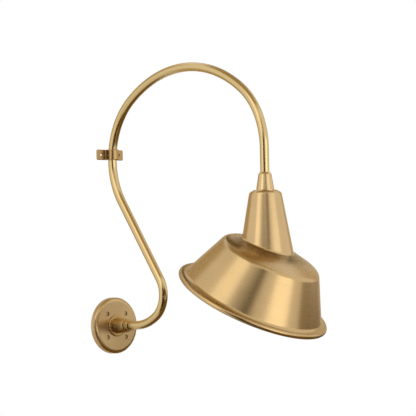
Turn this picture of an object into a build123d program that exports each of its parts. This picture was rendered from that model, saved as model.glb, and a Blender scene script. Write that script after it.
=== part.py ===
from build123d import *
from math import atan2, cos, radians, sin, tan
import os

# A gooseneck wall light in brass. Millimetres.
# The wall is the plane Y = 0. The light stands out of it along -Y, with +Z up, and the
# origin is the middle of the canopy's back. The arm lies in the plane X = 0.
# "Depth" is a distance from the wall, and "height" is a distance above the origin.

# ---- driving dimensions ----

# fits
running_fit = 0.05  # radial play of a part that turns or slides in another
thread_fit = 0.03  # radial play between a thread's plain stand-in and its hole
screw_clearance = 0.35  # radial play round a screw's shank in a through hole

# canopy, the round cast plate against the wall
canopy_radius = 63.5
canopy_rim_depth = 9.5
canopy_face_radius = 55.0
canopy_depth = 15.0
canopy_face_step = 0.9
canopy_cove_radius = 9.0
canopy_wall = 3.0
canopy_rim_round = 1.2
canopy_boss_radius = 7.5
canopy_screw_circle = 75.0  # diameter
canopy_screw_count = 4
screw_recess_radius = 5.1
screw_recess_depth = 4.5

# mounting plate, between the wall box and the canopy
plate_radius = 53.0
plate_thickness = 2.5
plate_wire_hole_radius = 14.0
plate_lip_height = 2.0
plate_lip_wall = 2.0
box_screw_spacing = 88.9
box_screw_hole_radius = 2.5
ground_screw_offset = 26.0

# canopy and ground screws
machine_screw_radius = 2.0
machine_head_radius = 4.2
machine_head_height = 2.8
machine_head_round = 0.9
screw_slot_width = 1.0
screw_slot_depth = 1.1
ground_head_across_flats = 8.0
ground_head_height = 3.0

# hub, between canopy and arm
hub_flange_radius = 24.4
hub_flange_thickness = 4.0
hub_flange_round = 1.6
hub_base_radius = 17.8
hub_end_radius = 15.4
hub_length = 36.0
hub_edge_round = 1.4
hub_socket_length = 14.0
hub_thread_length = 15.0
collar_radius = 13.0
collar_length = 13.0
collar_groove_radius = 1.3
collar_edge_round = 1.2
grub_radius = 2.0
grub_hex_across_flats = 2.0
grub_hex_depth = 2.0

# hollow threaded nipples, with their nuts and washers
nipple_radius = 4.85
nipple_bore_radius = 3.3
hub_nut_across_flats = 14.0
hub_nut_thickness = 4.0
hub_washer_radius = 10.0
washer_thickness = 1.0
hub_nipple_stand_out = 1.5

# arm tube and its bends, from the wall end to the lamp end
tube_radius = 9.75
tube_wall = 1.5
wall_gap = 0.75  # between the tube and the wall, at the clip
sweep_depth = 86.0  # where the first bend starts
sweep_radius = 121.0
sweep_angle = 32.6
heel_radius = 58.2
lean_angle = 35.5  # of the straight rise, from the vertical
flank_radius = 162.0
crown_radius = 312.5
crown_half_angle = 36.6
drop_length = 83.0

# strap clip that holds the arm to the wall
clip_rise = 14.0  # above the height where the tube is nearest to the wall
clip_height = 23.5
clip_thickness = 3.0
clip_ear_reach = 38.0
clip_ear_round = 3.5
clip_hole_offset = 25.0
clip_hole_radius = 2.4
clip_sink_radius = 4.0
clip_fit = 0.2
clip_bend_round = 1.2
clip_edge_round = 1.2

# ferrule at the arm's end
ferrule_lip_radius = 10.6
ferrule_shoulder_radius = 14.1
ferrule_shoulder_height = 4.5  # of the slope from the lip down to the shoulder
ferrule_bottom_radius = 19.4
ferrule_height = 38.0
ferrule_floor = 8.0
ferrule_round = 1.6
bushing_length = 14.0

# swivel that the head turns on
swivel_play = 0.05
swivel_washer_radius = 12.0
cover_washer_radius = 26.0
cover_washer_thickness = 1.5
cover_washer_round = 0.5
swivel_nut_across_flats = 17.0
swivel_nut_thickness = 5.0
nipple_grip = 10.0  # length of nipple in the arm's bushing

# lamp holder, which hangs on the arm's nipple inside the neck
holder_gap = 0.8
holder_cap_radius = 19.5
holder_cap_height = 16.0
holder_cap_wall = 1.2
holder_hub_radius = 8.0
holder_hub_height = 6.0
holder_cap_round = 3.0
holder_waist_radius = 17.2
holder_mouth_radius = 21.0
holder_mouth_height = 12.0
holder_flare = 4.0
holder_body_height = 54.0
holder_bore_depth = 32.0
holder_edge_round = 1.5
lamp_thread_radius = 13.25
lamp_thread_pitch = 3.63
lamp_thread_crest = 0.5
lamp_shell_wall = 0.4
lamp_thread_turns = 7
contact_radius = 4.0
contact_height = 2.5
contact_round = 1.0

# supply lead inside the arm
lead_radius = 3.0

# neck of the head, a spun cone
neck_top_radius = 33.7  # where top and side would meet without their rounding
neck_taper = 10.1
neck_round = 9.5
neck_wall = 2.0

# head: how it hangs
head_turn = 12.0  # of the head about the swivel, at rest
shade_tilt = 28.7
shade_drop = 161.6  # from the neck's top to where the shade's axis crosses the neck's
shade_axis_height = 84.9  # of that crossing above the rim's plane

# shade, a spun shell with a rolled rim
rim_radius = 169.0
rim_bead_radius = 5.6
rim_curl_angle = 280.0  # how far round the sheet's edge is rolled
lip_width = 8.3
lip_round = 11.0
shoulder_radius = 108.8
shoulder_height = 111.0
shoulder_round = 14.3
crown_slope = 18.5
crown_pilot_radius = 6.0  # spinning hole at the crown's middle, inside the lamp opening
shade_wall = 1.6
lamp_opening_radius = 38.0

# ---- places worked out from the dimensions ----

tube_bore_radius = tube_radius - tube_wall
wall_plane = Plane.XZ  # its normal points out of the wall
arm_plane = Plane(origin=(0, 0, 0), x_dir=(0, -1, 0), z_dir=(-1, 0, 0))

hub_face_depth = canopy_depth
hub_end_depth = hub_face_depth + hub_length
tube_start_depth = hub_end_depth - hub_socket_length
canopy_inner_depth = canopy_depth - canopy_wall
boss_seat_depth = plate_thickness
nut_face_depth = canopy_inner_depth - washer_thickness
nipple_start_depth = nut_face_depth - hub_nut_thickness - hub_nipple_stand_out

# the point on the path where the straight rise meets the arch
heel_angle = 90 + lean_angle - sweep_angle
bend_end_depth = (
    sweep_depth
    + sweep_radius * sin(radians(sweep_angle))
    + heel_radius * (cos(radians(lean_angle)) - sin(radians(sweep_angle)))
)
flank_depth = wall_gap + tube_radius
rise_end_depth = flank_depth + flank_radius * (1 - cos(radians(lean_angle)))
rise_length = (bend_end_depth - rise_end_depth) / sin(radians(lean_angle))
flank_angle = 90 - crown_half_angle


def arm_route(start_depth, drop):
    """The line along the arm's middle, from a depth in the hub to a drop below the arch."""
    with BuildLine(arm_plane) as route:
        stub = Line((start_depth, 0), (sweep_depth, 0))
        sweep_bend = JernArc(stub @ 1, stub % 1, sweep_radius, sweep_angle)
        heel_bend = JernArc(sweep_bend @ 1, sweep_bend % 1, heel_radius, heel_angle)
        rise = Line(heel_bend @ 1, (heel_bend @ 1) + (heel_bend % 1) * rise_length)
        near_flank = JernArc(rise @ 1, rise % 1, flank_radius, -(lean_angle + flank_angle))
        crown = JernArc(near_flank @ 1, near_flank % 1, crown_radius, -2 * crown_half_angle)
        far_flank = JernArc(crown @ 1, crown % 1, flank_radius, -flank_angle)
        Line(far_flank @ 1, (far_flank @ 1) + (far_flank % 1) * drop)
    return route.wire()


tube_route = arm_route(tube_start_depth, drop_length)
tube_end = tube_route @ 1
arm_reach = -tube_end.Y
flank_height = (
    sweep_radius * (1 - cos(radians(sweep_angle)))
    + heel_radius * (cos(radians(sweep_angle)) + sin(radians(lean_angle)))
    + rise_length * cos(radians(lean_angle))
    + flank_radius * sin(radians(lean_angle))
)
ferrule_bottom = tube_end.Z - ferrule_floor
neck_top = ferrule_bottom - cover_washer_thickness - swivel_play
neck_top_inside = neck_top - neck_wall
swivel_nut_top = neck_top_inside - swivel_play - washer_thickness
swivel_nut_bottom = swivel_nut_top - swivel_nut_thickness
holder_top = swivel_nut_bottom - holder_gap
neck_axis = Axis((0, -arm_reach, 0), (0, 0, 1))

# the head's own directions: out is away from the wall, along the tilt's plane
head_out = Vector(sin(radians(head_turn)), -cos(radians(head_turn)), 0)
head_up = Vector(0, 0, 1)
shade_up = head_up * cos(radians(shade_tilt)) + head_out * sin(radians(shade_tilt))
shade_out = head_out * cos(radians(shade_tilt)) - head_up * sin(radians(shade_tilt))
axes_crossing = Vector(0, -arm_reach, neck_top - shade_drop)
rim_middle = axes_crossing - shade_up * shade_axis_height
shade_plane = Plane(origin=rim_middle, x_dir=shade_out, z_dir=shade_out.cross(shade_up))
shade_axis = Axis(rim_middle, shade_up)


def turned_at(height):
    """A plane across the lamp end's upright axis, at a height."""
    return Plane(origin=(0, -arm_reach, height))


def export(piece, label):
    """Names a finished piece and writes it."""
    piece.part.label = label
    export_step(piece.part, f"parts/{label}.step")


os.makedirs("parts", exist_ok=True)

# ---- canopy and what fixes it ----

canopy_moulding_rise = canopy_depth - canopy_face_step - canopy_rim_depth

with BuildPart() as canopy:
    with BuildSketch(Plane.XY):
        with BuildLine():
            Polyline(
                (0, -canopy_inner_depth),
                (canopy_face_radius - canopy_wall, -canopy_inner_depth),
                (canopy_face_radius - canopy_wall, canopy_wall - canopy_rim_depth),
                (canopy_radius - canopy_wall, canopy_wall - canopy_rim_depth),
                (canopy_radius - canopy_wall, 0),
                (canopy_radius, 0),
                (canopy_radius, -canopy_rim_depth),
                (canopy_radius - canopy_rim_round, -canopy_rim_depth),
            )
            RadiusArc(
                (canopy_radius - canopy_rim_round, -canopy_rim_depth),
                (canopy_face_radius, -canopy_rim_depth - canopy_moulding_rise),
                canopy_cove_radius,
            )
            Polyline(
                (canopy_face_radius, -canopy_rim_depth - canopy_moulding_rise),
                (canopy_face_radius, -canopy_depth),
                (0, -canopy_depth),
                (0, -canopy_inner_depth),
            )
        make_face()
    revolve(axis=Axis.Y)
    # bosses on the inside take the screws down to the mounting plate
    with BuildSketch(wall_plane.offset(boss_seat_depth)):
        with PolarLocations(canopy_screw_circle / 2, canopy_screw_count, start_angle=45):
            Circle(canopy_boss_radius)
    extrude(amount=canopy_inner_depth - boss_seat_depth)
    with Locations(wall_plane.offset(canopy_depth)):
        with PolarLocations(canopy_screw_circle / 2, canopy_screw_count, start_angle=45):
            CounterBoreHole(
                machine_screw_radius + screw_clearance,
                screw_recess_radius,
                screw_recess_depth,
            )
        Hole(nipple_radius + running_fit)
export(canopy, "canopy")

with BuildPart() as mounting_plate:
    with BuildSketch(wall_plane):
        Circle(plate_radius)
        Circle(plate_wire_hole_radius, mode=Mode.SUBTRACT)
        with PolarLocations(canopy_screw_circle / 2, canopy_screw_count, start_angle=45):
            Circle(machine_screw_radius + thread_fit, mode=Mode.SUBTRACT)
        with GridLocations(box_screw_spacing, 1, 2, 1):
            Circle(box_screw_hole_radius, mode=Mode.SUBTRACT)
        with Locations((0, -ground_screw_offset)):
            Circle(machine_screw_radius + thread_fit, mode=Mode.SUBTRACT)
    extrude(amount=plate_thickness)
    # a turned-up lip round the wire hole keeps its edge off the wires
    with BuildSketch(wall_plane.offset(plate_thickness)):
        Circle(plate_wire_hole_radius + plate_lip_wall)
        Circle(plate_wire_hole_radius, mode=Mode.SUBTRACT)
    extrude(amount=plate_lip_height)
export(mounting_plate, "mounting_plate")

canopy_screw_seat = canopy_depth - screw_recess_depth

with BuildPart() as canopy_screws:
    with BuildSketch(wall_plane.offset(canopy_screw_seat)):
        with PolarLocations(canopy_screw_circle / 2, canopy_screw_count, start_angle=45):
            Circle(machine_head_radius)
    extrude(amount=machine_head_height)
    head_rims = canopy_screws.faces().sort_by(Axis.Y)[:canopy_screw_count].edges()
    fillet(head_rims, machine_head_round)
    with BuildSketch(wall_plane.offset(canopy_screw_seat)):
        with PolarLocations(canopy_screw_circle / 2, canopy_screw_count, start_angle=45):
            Circle(machine_screw_radius)
    extrude(amount=-canopy_screw_seat)
    # cross recesses
    with BuildSketch(wall_plane.offset(canopy_screw_seat + machine_head_height)):
        with PolarLocations(canopy_screw_circle / 2, canopy_screw_count, start_angle=45):
            Rectangle(machine_head_radius, screw_slot_width)
            Rectangle(screw_slot_width, machine_head_radius)
    extrude(amount=-screw_slot_depth, mode=Mode.SUBTRACT)
export(canopy_screws, "canopy_screws")

with BuildPart() as ground_screw:
    with BuildSketch(wall_plane.offset(plate_thickness)):
        with Locations((0, -ground_screw_offset)):
            RegularPolygon(ground_head_across_flats / 2, 6, major_radius=False)
    extrude(amount=ground_head_height)
    with BuildSketch(wall_plane):
        with Locations((0, -ground_screw_offset)):
            Circle(machine_screw_radius)
    extrude(amount=plate_thickness)
    with BuildSketch(wall_plane.offset(plate_thickness + ground_head_height)):
        with Locations((0, -ground_screw_offset)):
            Rectangle(2 * ground_head_across_flats, screw_slot_width)
    extrude(amount=-screw_slot_depth, mode=Mode.SUBTRACT)
export(ground_screw, "ground_screw")

# ---- hub ----

with BuildPart() as hub_flange:
    with BuildSketch(wall_plane.offset(hub_face_depth)):
        Circle(hub_flange_radius)
    extrude(amount=hub_flange_thickness)
    fillet(hub_flange.faces().sort_by(Axis.Y)[0].edges(), hub_flange_round)
    with BuildSketch(wall_plane.offset(hub_face_depth)):
        Circle(hub_base_radius + running_fit)
    extrude(amount=hub_flange_thickness, mode=Mode.SUBTRACT)
export(hub_flange, "hub_flange")

with BuildPart() as hub:
    with BuildSketch(Plane.XY):
        with BuildLine():
            Polyline(
                (nipple_bore_radius, -hub_face_depth),
                (hub_base_radius, -hub_face_depth),
                (hub_base_radius, -hub_face_depth - hub_flange_thickness),
                (hub_end_radius, -hub_end_depth),
                (tube_radius + running_fit, -hub_end_depth),
                (tube_radius + running_fit, -tube_start_depth),
                (nipple_bore_radius, -tube_start_depth),
                close=True,
            )
        make_face()
    revolve(axis=Axis.Y)
    hub_end_face = hub.faces().sort_by(Axis.Y)[0]
    fillet(hub_end_face.edges().sort_by(SortBy.RADIUS)[-1], hub_edge_round)
    with BuildSketch(wall_plane.offset(hub_face_depth)):
        Circle(nipple_radius + thread_fit)
    extrude(amount=hub_thread_length, mode=Mode.SUBTRACT)
    # threaded hole for the grub screw, up from below
    grub_depth = (tube_start_depth + hub_end_depth) / 2
    with BuildSketch(Plane(origin=(0, -grub_depth, 0))):
        Circle(grub_radius + thread_fit)
    extrude(amount=-hub_base_radius, mode=Mode.SUBTRACT)
export(hub, "hub")

hub_radius_at_grub = hub_end_radius + (hub_base_radius - hub_end_radius) * (
    (hub_end_depth - grub_depth) / (hub_length - hub_flange_thickness)
)

with BuildPart() as hub_grub_screw:
    with BuildSketch(Plane(origin=(0, -grub_depth, -tube_radius))):
        Circle(grub_radius)
    extrude(amount=-(hub_radius_at_grub - tube_radius))
    with BuildSketch(Plane(origin=(0, -grub_depth, -hub_radius_at_grub))):
        RegularPolygon(grub_hex_across_flats / 2, 6, major_radius=False)
    extrude(amount=grub_hex_depth, mode=Mode.SUBTRACT)
export(hub_grub_screw, "hub_grub_screw")

with BuildPart() as hub_collar:
    with BuildSketch(wall_plane.offset(hub_end_depth)):
        Circle(collar_radius)
    extrude(amount=collar_length)
    fillet(hub_collar.faces().sort_by(Axis.Y)[0].edges(), collar_edge_round)
    with BuildSketch(wall_plane.offset(hub_end_depth)):
        Circle(tube_radius + running_fit)
    extrude(amount=collar_length, mode=Mode.SUBTRACT)
    with BuildSketch(Plane.XY):
        with Locations((collar_radius, -hub_end_depth - collar_length / 2)):
            Circle(collar_groove_radius)
    revolve(axis=Axis.Y, mode=Mode.SUBTRACT)
export(hub_collar, "hub_collar")

with BuildPart() as hub_nipple:
    with BuildSketch(wall_plane.offset(nipple_start_depth)):
        Circle(nipple_radius)
        Circle(nipple_bore_radius, mode=Mode.SUBTRACT)
    extrude(amount=hub_face_depth + hub_thread_length - nipple_start_depth)
export(hub_nipple, "hub_nipple")

with BuildPart() as hub_washer:
    with BuildSketch(wall_plane.offset(nut_face_depth)):
        Circle(hub_washer_radius)
        Circle(nipple_radius + screw_clearance, mode=Mode.SUBTRACT)
    extrude(amount=washer_thickness)
export(hub_washer, "hub_washer")

with BuildPart() as hub_nut:
    with BuildSketch(wall_plane.offset(nut_face_depth)):
        RegularPolygon(hub_nut_across_flats / 2, 6, major_radius=False)
        Circle(nipple_radius + thread_fit, mode=Mode.SUBTRACT)
    extrude(amount=-hub_nut_thickness)
export(hub_nut, "hub_nut")

# ---- arm ----

with BuildPart() as gooseneck_tube:
    with BuildSketch(Plane(origin=tube_route @ 0, z_dir=tube_route % 0)):
        Circle(tube_radius)
        Circle(tube_bore_radius, mode=Mode.SUBTRACT)
    sweep(path=tube_route)
export(gooseneck_tube, "gooseneck_tube")

clip_middle = flank_height + clip_rise
clip_top_offset = clip_rise + clip_height / 2
# the tube curves away from the wall, so the clip's channel reaches its furthest part
tube_curve = flank_radius - (flank_radius**2 - clip_top_offset**2) ** 0.5
clip_channel_radius = tube_radius + clip_fit
clip_channel_depth = flank_depth + tube_curve
clip_saddle_radius = clip_channel_radius + clip_thickness

with BuildPart() as wall_clip:
    with BuildSketch(Plane.XY.offset(clip_middle - clip_height / 2)) as strap:
        with Locations((0, -clip_channel_depth)):
            Circle(clip_saddle_radius)
        # the saddle's round is its front half, and straight sides run back to the ears
        with Locations((0, clip_saddle_radius - clip_channel_depth)):
            Rectangle(2 * clip_saddle_radius, 2 * clip_saddle_radius, mode=Mode.SUBTRACT)
        with Locations((0, -clip_channel_depth / 2)):
            Rectangle(2 * clip_saddle_radius, clip_channel_depth)
        with Locations((0, -clip_thickness / 2)):
            Rectangle(2 * clip_ear_reach, clip_thickness)
        # round the inside of the bends between ears and saddle
        bends = strap.vertices().group_by(Axis.Y)[-2].sort_by(Axis.X)[1:-1]
        fillet(bends, clip_bend_round)
    extrude(amount=clip_height)
    ear_corners = wall_clip.edges().filter_by(Axis.Y).group_by(Axis.X)
    fillet(ear_corners[0] + ear_corners[-1], clip_ear_round)
    # the edges that face the room are eased, but not the seams of the bends and the saddle
    front_edges = wall_clip.edges().filter_by_position(
        Axis.Y, -clip_channel_depth - clip_saddle_radius, -0.75 * clip_thickness
    )
    seams = front_edges.filter_by(Axis.Z).sort_by(Axis.X)[1:-1]
    fillet(front_edges - seams, clip_edge_round)
    with BuildSketch(Plane.XY.offset(clip_middle - clip_height / 2)):
        with Locations((0, -clip_channel_depth / 2)):
            Rectangle(2 * clip_channel_radius, clip_channel_depth)
        with Locations((0, -clip_channel_depth)):
            Circle(clip_channel_radius)
    extrude(amount=clip_height, mode=Mode.SUBTRACT)
    with Locations(wall_plane.offset(clip_thickness)):
        with Locations((-clip_hole_offset, clip_middle), (clip_hole_offset, clip_middle)):
            CounterSinkHole(clip_hole_radius, clip_sink_radius)
export(wall_clip, "wall_clip")

# ---- ferrule, swivel and lamp holder on the arm's end ----

ferrule_top = ferrule_bottom + ferrule_height

with BuildPart() as ferrule:
    with BuildSketch(Plane.XZ.offset(arm_reach)):
        with BuildLine():
            Polyline(
                (0, ferrule_bottom),
                (ferrule_bottom_radius, ferrule_bottom),
                (ferrule_shoulder_radius, ferrule_top - ferrule_shoulder_height),
                (ferrule_lip_radius, ferrule_top),
                (0, ferrule_top),
                close=True,
            )
        make_face()
    revolve(axis=neck_axis)
    ferrule_shoulder = ferrule.edges().filter_by(GeomType.CIRCLE).sort_by(Axis.Z)[1]
    fillet(ferrule_shoulder, ferrule_round)
    with BuildSketch(turned_at(tube_end.Z)):
        Circle(tube_radius + running_fit)
    extrude(amount=ferrule_height, mode=Mode.SUBTRACT)
    with BuildSketch(turned_at(ferrule_bottom)):
        Circle(nipple_radius + thread_fit)
    extrude(amount=ferrule_floor, mode=Mode.SUBTRACT)
export(ferrule, "ferrule")

with BuildPart() as arm_bushing:
    with BuildSketch(turned_at(tube_end.Z)):
        Circle(tube_bore_radius - thread_fit)
        Circle(nipple_radius + thread_fit, mode=Mode.SUBTRACT)
    extrude(amount=bushing_length)
export(arm_bushing, "arm_bushing")

arm_nipple_bottom = holder_top - holder_hub_height

with BuildPart() as arm_nipple:
    with BuildSketch(turned_at(arm_nipple_bottom)):
        Circle(nipple_radius)
        Circle(nipple_bore_radius, mode=Mode.SUBTRACT)
    extrude(amount=tube_end.Z + nipple_grip - arm_nipple_bottom)
export(arm_nipple, "arm_nipple")

with BuildPart() as cover_washer:
    with BuildSketch(turned_at(ferrule_bottom)):
        Circle(cover_washer_radius)
        Circle(nipple_radius + thread_fit, mode=Mode.SUBTRACT)
    extrude(amount=-cover_washer_thickness)
    cover_washer_rim = cover_washer.faces().sort_by(Axis.Z)[-1].edges().sort_by(SortBy.RADIUS)[-1]
    fillet(cover_washer_rim, cover_washer_round)
export(cover_washer, "cover_washer")

with BuildPart() as swivel_washer:
    with BuildSketch(turned_at(neck_top_inside - swivel_play)):
        Circle(swivel_washer_radius)
        Circle(nipple_radius + thread_fit, mode=Mode.SUBTRACT)
    extrude(amount=-washer_thickness)
export(swivel_washer, "swivel_washer")

with BuildPart() as swivel_nut:
    with BuildSketch(turned_at(swivel_nut_top)):
        RegularPolygon(swivel_nut_across_flats / 2, 6, major_radius=False)
        Circle(nipple_radius + thread_fit, mode=Mode.SUBTRACT)
    extrude(amount=-swivel_nut_thickness)
export(swivel_nut, "swivel_nut")

holder_cap_bottom = holder_top - holder_hub_height - holder_cap_height
holder_body_top = holder_top - holder_hub_height - holder_cap_wall
holder_mouth = holder_body_top - holder_body_height
lead_end_height = holder_body_top - holder_cap_round

with BuildPart() as holder_cap:
    with BuildSketch(turned_at(holder_cap_bottom)):
        Circle(holder_cap_radius)
    extrude(amount=holder_cap_height)
    fillet(holder_cap.faces().sort_by(Axis.Z)[-1].edges(), holder_cap_round)
    with BuildSketch(turned_at(holder_cap_bottom)):
        Circle(holder_cap_radius - holder_cap_wall)
    extrude(amount=holder_cap_height - holder_cap_wall, mode=Mode.SUBTRACT)
    with BuildSketch(turned_at(holder_top)):
        Circle(holder_hub_radius)
    extrude(amount=-holder_hub_height)
    with BuildSketch(turned_at(holder_top)):
        Circle(nipple_radius + thread_fit)
    extrude(amount=-holder_hub_height - holder_cap_wall, mode=Mode.SUBTRACT)
export(holder_cap, "holder_cap")

lamp_thread_root = lamp_thread_radius - lamp_thread_crest
lamp_thread_slope = atan2(2 * lamp_thread_crest, lamp_thread_pitch / 2)
lamp_shell_ridge = lamp_thread_radius + lamp_thread_crest + lamp_shell_wall / cos(lamp_thread_slope)
lamp_bore_radius = lamp_shell_ridge + thread_fit
body_fit_radius = holder_cap_radius - holder_cap_wall - running_fit

with BuildPart() as holder_body:
    with BuildSketch(Plane.XZ.offset(arm_reach)):
        with BuildLine():
            Polyline(
                (0, lead_end_height),
                (body_fit_radius - holder_cap_round, lead_end_height),
                (body_fit_radius, lead_end_height - holder_cap_round),
                (body_fit_radius, holder_cap_bottom),
                (holder_waist_radius, holder_cap_bottom),
                (holder_waist_radius, holder_mouth + holder_mouth_height + holder_flare),
                (holder_mouth_radius, holder_mouth + holder_mouth_height),
                (holder_mouth_radius, holder_mouth),
                (lamp_bore_radius, holder_mouth),
                (lamp_bore_radius, holder_mouth + holder_bore_depth),
                (0, holder_mouth + holder_bore_depth),
                close=True,
            )
        make_face()
    revolve(axis=neck_axis)
    mouth_rim = holder_body.faces().sort_by(Axis.Z)[0].edges().sort_by(SortBy.RADIUS)[-1]
    fillet(mouth_rim, holder_edge_round)
export(holder_body, "holder_body")

bore_floor = holder_mouth + holder_bore_depth
shell_bottom = bore_floor - lamp_shell_wall - lamp_thread_turns * lamp_thread_pitch

with BuildPart() as lamp_shell:
    with BuildSketch(Plane.XZ.offset(arm_reach)):
        # the rolled thread is drawn as rings, each with a straight slope either side
        with BuildLine():
            for turn in range(lamp_thread_turns):
                foot = shell_bottom + turn * lamp_thread_pitch
                Polyline(
                    (lamp_thread_root, foot),
                    (lamp_thread_radius + lamp_thread_crest, foot + lamp_thread_pitch / 2),
                    (lamp_thread_root, foot + lamp_thread_pitch),
                )
            offset(amount=lamp_shell_wall, side=Side.LEFT, kind=Kind.INTERSECTION)
        make_face()
    revolve(axis=neck_axis)
export(lamp_shell, "lamp_shell")

with BuildPart() as lamp_contact:
    with BuildSketch(turned_at(bore_floor)):
        Circle(contact_radius)
    extrude(amount=-contact_height)
    fillet(lamp_contact.faces().sort_by(Axis.Z)[0].edges(), contact_round)
export(lamp_contact, "lamp_contact")

lead_route = arm_route(nipple_start_depth, drop_length + tube_end.Z - lead_end_height)

with BuildPart() as supply_lead:
    with BuildSketch(Plane(origin=lead_route @ 0, z_dir=lead_route % 0)):
        Circle(lead_radius)
    sweep(path=lead_route)
export(supply_lead, "supply_lead")

# ---- head: neck and shade ----

lip_radius = rim_radius - rim_bead_radius - lip_width
lip_height = 2 * rim_bead_radius
bead_middle_radius = rim_radius - rim_bead_radius
crown_rise = (shoulder_radius - crown_pilot_radius) * tan(radians(crown_slope))
crown_height = shoulder_height + crown_rise


def shade_line():
    """The outside of the shade in section: lip, side, shoulder and crown."""
    return FilletPolyline(
        (bead_middle_radius, lip_height),
        (lip_radius, lip_height),
        (shoulder_radius, shoulder_height),
        (crown_pilot_radius, crown_height),
        radius=(lip_round, shoulder_round),
    )


with BuildPart() as shade:
    with BuildSketch(shade_plane):
        with BuildLine():
            CenterArc(
                (bead_middle_radius, rim_bead_radius),
                rim_bead_radius,
                90 - rim_curl_angle,
                rim_curl_angle,
            )
            shade_line()
            offset(amount=shade_wall, side=Side.LEFT)
        make_face()
    revolve(axis=shade_axis)
    with BuildSketch(turned_at(neck_top)):
        Circle(lamp_opening_radius)
    extrude(amount=-shade_drop, mode=Mode.SUBTRACT)
export(shade, "shade")

# before the crown trims it, the neck's skirt reaches down to where the axes cross
skirt_radius = neck_top_radius + shade_drop * tan(radians(neck_taper))

with BuildPart() as neck:
    with BuildSketch(Plane.XZ.offset(arm_reach)):
        with BuildLine():
            neck_line = FilletPolyline(
                (0, neck_top),
                (neck_top_radius, neck_top),
                (skirt_radius, neck_top - shade_drop),
                radius=neck_round,
            )
            offset(neck_line, amount=neck_wall, side=Side.RIGHT)
        make_face()
    revolve(axis=neck_axis)
    with BuildSketch(turned_at(neck_top)):
        Circle(nipple_radius + running_fit)
    extrude(amount=-neck_wall, mode=Mode.SUBTRACT)
    # the crown trims the neck's foot on the slant
    with BuildSketch(shade_plane):
        with BuildLine():
            shade_line()
            Polyline(
                (crown_pilot_radius, crown_height),
                (0, crown_height),
                (0, lip_height),
                (bead_middle_radius, lip_height),
            )
        make_face()
    revolve(axis=shade_axis, mode=Mode.SUBTRACT)
export(neck, "neck")
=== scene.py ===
"""A gooseneck wall light in satin brass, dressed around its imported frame.

The frame gives every rigid part. This script gives those parts their finishes, spins the
neck and the shade again with finer faces, runs the braze between them and sets the studio.
"""

import logging
import math
from collections.abc import Callable
from dataclasses import dataclass, field
from enum import Enum
from typing import Any, ClassVar

import bmesh
import bpy
from bmesh.types import BMesh
from bpy.types import Material, Node, NodeSocket, NodeTree, Object
from mathutils import Euler, Matrix, Vector


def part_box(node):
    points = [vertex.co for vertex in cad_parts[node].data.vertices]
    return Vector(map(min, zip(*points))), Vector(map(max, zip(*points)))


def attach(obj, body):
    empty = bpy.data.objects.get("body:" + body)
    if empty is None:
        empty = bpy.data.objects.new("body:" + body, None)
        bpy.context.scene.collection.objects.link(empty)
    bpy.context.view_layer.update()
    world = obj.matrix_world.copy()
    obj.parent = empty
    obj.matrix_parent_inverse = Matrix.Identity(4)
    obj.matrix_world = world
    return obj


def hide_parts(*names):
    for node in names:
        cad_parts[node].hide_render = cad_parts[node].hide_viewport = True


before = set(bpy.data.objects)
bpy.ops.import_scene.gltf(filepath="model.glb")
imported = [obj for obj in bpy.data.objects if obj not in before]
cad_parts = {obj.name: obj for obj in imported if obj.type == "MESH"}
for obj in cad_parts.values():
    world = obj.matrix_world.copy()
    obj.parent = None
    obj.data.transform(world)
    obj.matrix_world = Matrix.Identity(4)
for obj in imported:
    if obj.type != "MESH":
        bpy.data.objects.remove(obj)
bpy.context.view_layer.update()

LOG = logging.getLogger("wall_light")
PHOTO_WIDTH = 416
MM = 0.001
FULL_TURN = 2 * math.pi
UPRIGHT = Vector((0, 0, 1))
WHITE = "ffffff"

# The sRGB curve: a straight toe, then a power.
TOE_END = 0.04045
TOE_SLOPE = 12.92
CURVE_OFFSET = 0.055
CURVE_POWER = 2.4

MERGE_DISTANCE = 1e-4  # mm
TOUCH = 0.01  # mm, heights closer than this count as one
SORT_WAY = Vector((1.0, 1.6180, 2.7183))  # a slanted direction that puts no two points level
HALVINGS = 40  # of a search along a line, past the mesh's own precision
ROUND_STEP = 7.0  # degrees of a corner's round that one face takes
LEAST_ROUND_FACES = 3
SHARP_ANGLE = 38.0  # degrees, edges that turn more than this stay sharp


class Body(Enum):
    """The two parts of the light that move against each other."""

    ARM = "wall_arm"
    HEAD = "head"


class Slot(Enum):
    """The material slot given with the pieces made here."""

    SATIN_BRASS = "satin_brass"


def linear(code: str) -> tuple[float, float, float, float]:
    """Turns an sRGB hex colour into linear light.

    Args:
        code: Six hex digits, such as "c8a064".

    Returns:
        Red, green, blue and an alpha of one.
    """
    levels = [int(code[i : i + 2], 16) / 255 for i in (0, 2, 4)]
    red, green, blue = (
        c / TOE_SLOPE if c <= TOE_END else ((c + CURVE_OFFSET) / (1 + CURVE_OFFSET)) ** CURVE_POWER
        for c in levels
    )
    return red, green, blue, 1.0


def add_node(
    tree: NodeTree, kind: str, inputs: dict[str | int, Any] | None = None, **settings: Any
) -> Node:
    """Adds a shader node with its settings, values and links.

    Args:
        tree: The node tree to add to.
        kind: The node's type name, after the words ShaderNode.
        inputs: What each input gets, by its name or number: a value, an output socket, or a
            node, whose first output is linked.
        **settings: The node's own properties.

    Returns:
        The new node.
    """
    node = tree.nodes.new("ShaderNode" + kind)
    for name, value in settings.items():
        setattr(node, name, value)
    for key, value in (inputs or {}).items():
        if isinstance(value, Node):
            value = value.outputs[0]
        if isinstance(value, NodeSocket):
            tree.links.new(value, node.inputs[key])
        else:
            node.inputs[key].default_value = value
    return node


def new_material(name: str) -> tuple[Material, NodeTree]:
    """Starts a material with no nodes.

    Args:
        name: The material's name.

    Returns:
        The material and its empty node tree.
    """
    material = bpy.data.materials.new(name)
    material.use_nodes = True
    material.node_tree.nodes.clear()
    return material, material.node_tree


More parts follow.
